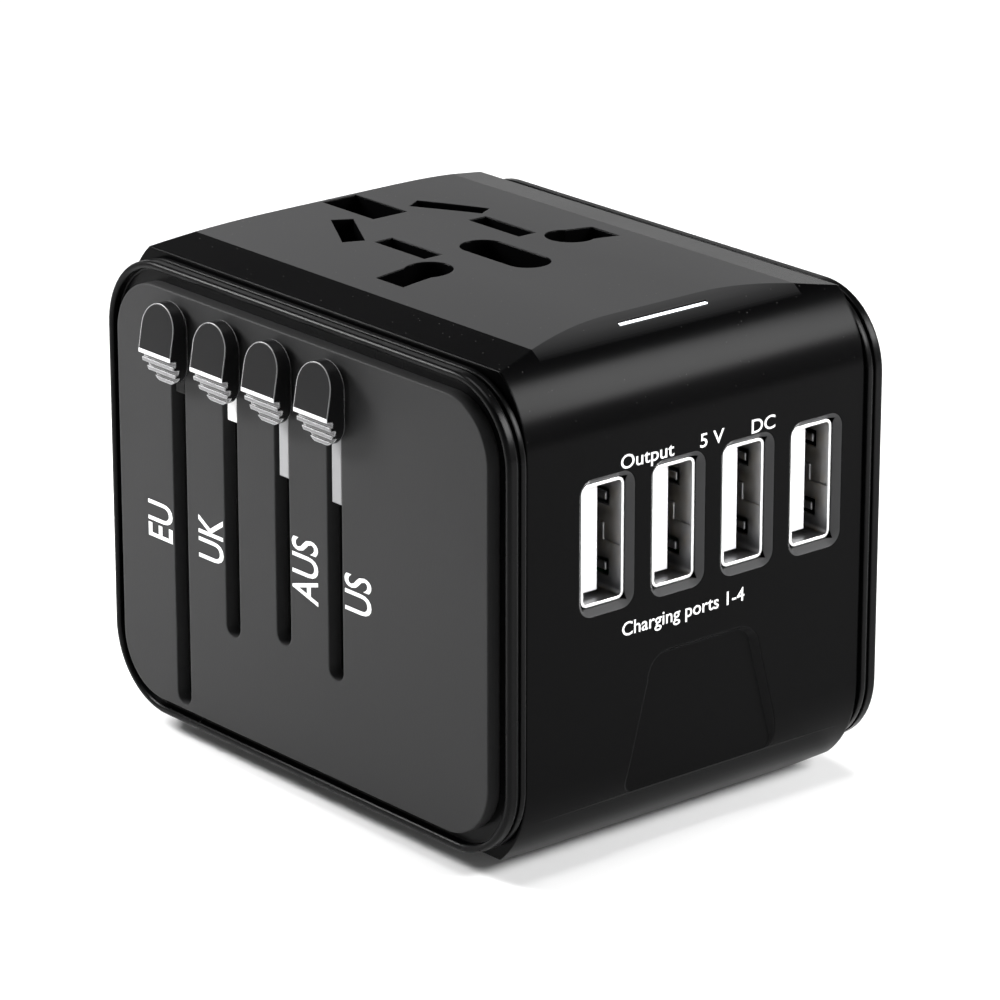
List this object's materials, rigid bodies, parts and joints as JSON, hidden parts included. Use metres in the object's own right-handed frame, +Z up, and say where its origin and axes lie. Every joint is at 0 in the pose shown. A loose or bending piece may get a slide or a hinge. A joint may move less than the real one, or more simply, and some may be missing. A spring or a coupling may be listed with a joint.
{
  "type": "universal travel adapter",
  "caption": "Block travel adapter with a multi-standard socket on top, USB ports on one end and sliding plug pins worked by buttons in slots.",
  "frame": {"origin": "centre of the plug face, the flat face it rests on", "axes": "+Z up to the socket face, +X to the USB face, -Y to the face with the slider buttons"},
  "size_m": [0.0656, 0.0544, 0.0548],
  "materials": {
    "casing": "satin black moulded plastic",
    "cover": "satin black moulded plastic",
    "plate": "fine matte dark grey",
    "steel": "plated steel",
    "light": "frosted translucent white",
    "usb_metal": "nickel plated sheet",
    "usb_plastic": "white insulator",
    "gold_contact": "gold plated",
    "circuit_board": "green laminate",
    "transformer": "tape-wrapped core",
    "capacitor": "sleeved can",
    "brass": "stamped brass",
    "inner_plastic": "black moulded plastic",
    "fuse_ceramic": "glazed ceramic",
    "plug_plastic": "black moulded plastic",
    "slider_plastic": "light grey moulded plastic",
    "pin_metal": "nickel plated brass",
    "sleeve": "black insulating sleeve",
    "button": "black plastic with bright edges"
  },
  "bodies": {
    "root": {"body_shell": "casing", "front_cover": "cover", "rear_cover": "cover", "front_plate": "plate", "rear_plate": "plate", "cover_screws": "steel", "led_light_bar": "light", "usb_shell_1": "usb_metal", "usb_shell_2": "usb_metal", "usb_shell_3": "usb_metal", "usb_shell_4": "usb_metal", "usb_tongue_1": "usb_plastic", "usb_tongue_2": "usb_plastic", "usb_tongue_3": "usb_plastic", "usb_tongue_4": "usb_plastic", "usb_contacts": "gold_contact", "usb_board": "circuit_board", "power_board": "circuit_board", "transformer": "transformer", "capacitors": "capacitor", "neutral_contact": "brass", "line_contact": "brass", "earth_contact": "brass", "contact_deck": "inner_plastic", "fuse_springs": "brass"},
    "fuse_tray": {"fuse_drawer": "plate", "fuse": "fuse_ceramic"},
    "eu_slider": {"eu_plug_block": "plug_plastic", "eu_pins": "pin_metal", "eu_pin_sleeves": "sleeve", "eu_button_spring": "steel"},
    "uk_slider": {"uk_carriage": "slider_plastic", "uk_line_pins": "pin_metal", "uk_pin_sleeves": "sleeve", "uk_earth_pin": "pin_metal", "uk_button_spring": "steel"},
    "aus_slider": {"aus_carriage": "slider_plastic", "aus_blades": "pin_metal", "aus_button_spring": "steel"},
    "us_slider": {"us_carriage": "slider_plastic", "us_blades": "pin_metal", "us_button_spring": "steel"},
    "eu_push": {"eu_button": "button"},
    "uk_push": {"uk_button": "button"},
    "aus_push": {"aus_button": "button"},
    "us_push": {"us_button": "button"}
  },
  "joints": [
    {"name": "fuse_drawer_slide", "type": "slide", "parent": "root", "child": "fuse_tray", "axis": [0, 1, 0], "range_m": [0, 0.012]},
    {"name": "eu_plug_slide", "type": "slide", "parent": "root", "child": "eu_slider", "axis": [0, 0, -1], "range_m": [0, 0.034]},
    {"name": "uk_plug_slide", "type": "slide", "parent": "root", "child": "uk_slider", "axis": [0, 0, -1], "range_m": [0, 0.023]},
    {"name": "aus_plug_slide", "type": "slide", "parent": "root", "child": "aus_slider", "axis": [0, 0, -1], "range_m": [0, 0.0176]},
    {"name": "us_plug_slide", "type": "slide", "parent": "root", "child": "us_slider", "axis": [0, 0, -1], "range_m": [0, 0.0184]},
    {"name": "eu_button_press", "type": "slide", "parent": "eu_slider", "child": "eu_push", "axis": [0, 1, 0], "range_m": [0, 0.0006], "stiffness_N_per_m": 800, "springref_m": -0.0006, "deforming": ["eu_button_spring"]},
    {"name": "uk_button_press", "type": "slide", "parent": "uk_slider", "child": "uk_push", "axis": [0, 1, 0], "range_m": [0, 0.0006], "stiffness_N_per_m": 800, "springref_m": -0.0006, "deforming": ["uk_button_spring"]},
    {"name": "aus_button_press", "type": "slide", "parent": "aus_slider", "child": "aus_push", "axis": [0, 1, 0], "range_m": [0, 0.0006], "stiffness_N_per_m": 800, "springref_m": -0.0006, "deforming": ["aus_button_spring"]},
    {"name": "us_button_press", "type": "slide", "parent": "us_slider", "child": "us_push", "axis": [0, 1, 0], "range_m": [0, 0.0006], "stiffness_N_per_m": 800, "springref_m": -0.0006, "deforming": ["us_button_spring"]}
  ]
}
